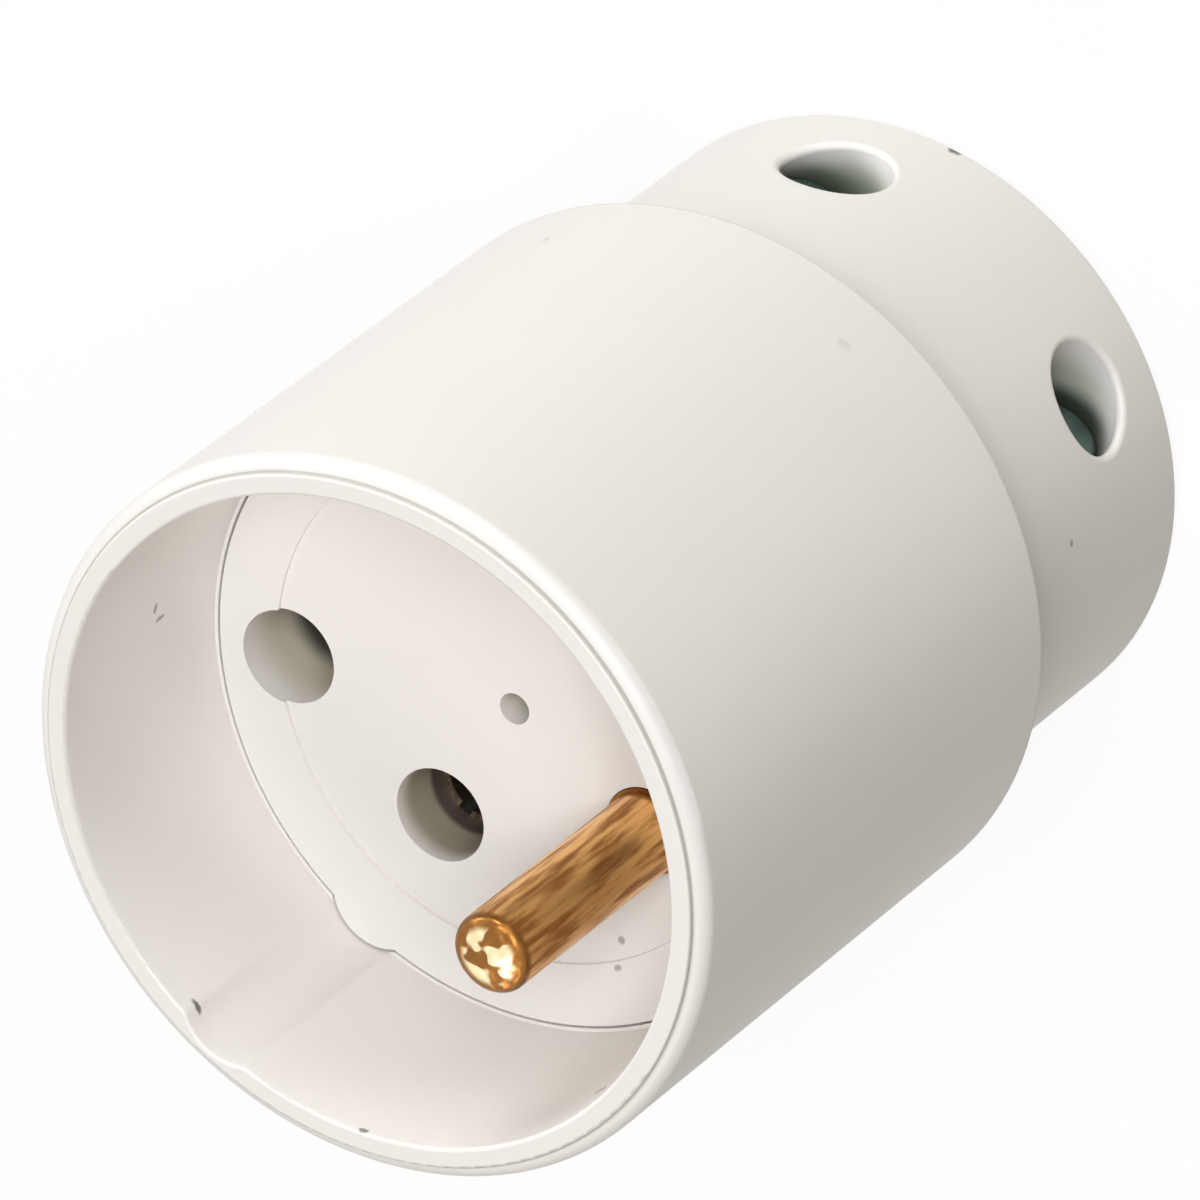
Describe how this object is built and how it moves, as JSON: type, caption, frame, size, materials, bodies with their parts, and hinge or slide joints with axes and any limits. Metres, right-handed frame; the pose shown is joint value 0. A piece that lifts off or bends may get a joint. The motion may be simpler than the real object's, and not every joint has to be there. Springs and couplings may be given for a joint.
{
  "type": "earthed cable socket",
  "caption": "White round portable socket for a flexible lead, with a deep recess, round line holes, a standing brass earth pin and a cord clamp at the rear.",
  "frame": {"origin": "centre of the rear face, on the surface the socket stands on", "axes": "+Z along the body out of the recess, +Y from the axis towards the earth pin, -X towards the side with the clamp screws"},
  "size_m": [0.0432, 0.0432, 0.0568],
  "materials": {
    "shell_plastic": "satin moulded",
    "carrier_plastic": "satin moulded",
    "pin_brass": "turned",
    "contact_brass": "dull turned",
    "spring_steel": "dull",
    "plated_steel": "dull plated"
  },
  "bodies": {
    "root": {"front_shell": "shell_plastic", "rear_cap": "shell_plastic", "contact_carrier": "carrier_plastic", "contact_cover": "carrier_plastic", "clamp_bar": "carrier_plastic", "earth_pin": "pin_brass", "line_contact_right": "contact_brass", "line_contact_left": "contact_brass", "contact_spring_right": "spring_steel", "contact_spring_left": "spring_steel", "line_terminal_screw_right": "plated_steel", "line_terminal_screw_left": "plated_steel", "earth_terminal_screw": "plated_steel", "cover_screw": "plated_steel", "assembly_screw_lower": "plated_steel", "assembly_screw_upper": "plated_steel", "clamp_screw_upper": "plated_steel", "clamp_screw_lower": "plated_steel", "clamp_nut_upper": "plated_steel", "clamp_nut_lower": "plated_steel"}
  },
  "joints": []
}
